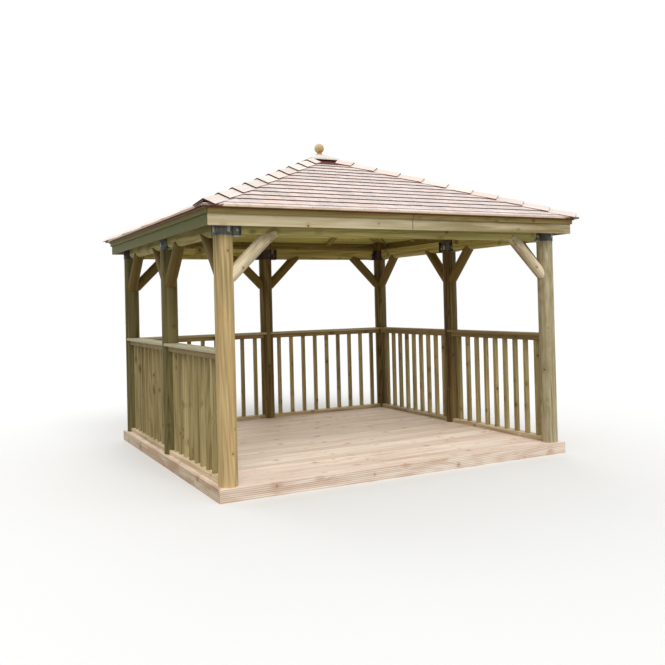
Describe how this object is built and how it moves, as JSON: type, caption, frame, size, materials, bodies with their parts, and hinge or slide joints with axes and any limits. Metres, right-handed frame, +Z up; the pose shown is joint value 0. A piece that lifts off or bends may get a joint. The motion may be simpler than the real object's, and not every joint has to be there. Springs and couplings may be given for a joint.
{
  "type": "garden gazebo",
  "caption": "Square open timber garden gazebo with round posts, railed sides, a boarded deck and a hipped shingle roof with a ball finial.",
  "frame": {"origin": "on the ground, at the middle of the deck's plan and of the whole object's", "axes": "+Z up, the open front faces -Y, +X to the right seen from the front"},
  "size_m": [3.9828, 3.9828, 3.3313],
  "materials": {
    "post_timber": "machine-rounded pressure-treated softwood, warm tan with grain streaks and knots",
    "brace_timber": "round pressure-treated softwood, pale cream tan",
    "beam_timber": "half-round pressure-treated softwood, olive tan",
    "galvanised_steel": "dull galvanised steel plate",
    "railing_timber": "planed treated softwood, olive brown with knots",
    "handrail_timber": "planed treated softwood, pale greenish cream",
    "deck_timber": "treated softwood boards, pale pinkish tan",
    "joist_timber": "sawn treated softwood",
    "deck_edge_timber": "ribbed treated softwood board on edge",
    "fascia_timber": "planed treated softwood, pale cream tan",
    "eave_timber": "sawn treated softwood, olive brown",
    "rafter_timber": "sawn treated softwood, brown",
    "shingles": "split wooden shingles, pale pinkish tan",
    "hip_cap_boards": "lapped wooden cap boards, cream pink",
    "apex_cap_wood": "smooth wood, nearly white",
    "finial_wood": "turned wood, golden tan"
  },
  "bodies": {
    "root": {"apex_cap": "apex_cap_wood", "back_beams": "beam_timber", "back_braces": "brace_timber", "back_deck_edge": "deck_edge_timber", "back_fascia": "fascia_timber", "back_handrail": "handrail_timber", "back_left_post": "post_timber", "back_left_railing": "railing_timber", "back_middle_post": "post_timber", "back_right_post": "post_timber", "back_right_railing": "railing_timber", "back_roof_slope": "shingles", "corner_brackets": "galvanised_steel", "deck_floor": "deck_timber", "deck_joists": "joist_timber", "eave_battens": "eave_timber", "eave_fillets": "eave_timber", "finial": "finial_wood", "front_beam": "beam_timber", "front_braces": "brace_timber", "front_deck_edge": "deck_edge_timber", "front_fascia": "fascia_timber", "front_left_post": "post_timber", "front_right_post": "post_timber", "front_roof_slope": "shingles", "hip_caps": "hip_cap_boards", "hip_rafters": "rafter_timber", "king_block": "rafter_timber", "left_back_railing": "railing_timber", "left_beams": "beam_timber", "left_braces": "brace_timber", "left_deck_edge": "deck_edge_timber", "left_fascia": "fascia_timber", "left_front_railing": "railing_timber", "left_handrail": "handrail_timber", "left_middle_post": "post_timber", "left_roof_slope": "shingles", "middle_brackets": "galvanised_steel", "rafters": "rafter_timber", "right_back_railing": "railing_timber", "right_beams": "beam_timber", "right_braces": "brace_timber", "right_deck_edge": "deck_edge_timber", "right_fascia": "fascia_timber", "right_front_railing": "railing_timber", "right_handrail": "handrail_timber", "right_middle_post": "post_timber", "right_roof_slope": "shingles"}
  },
  "joints": []
}
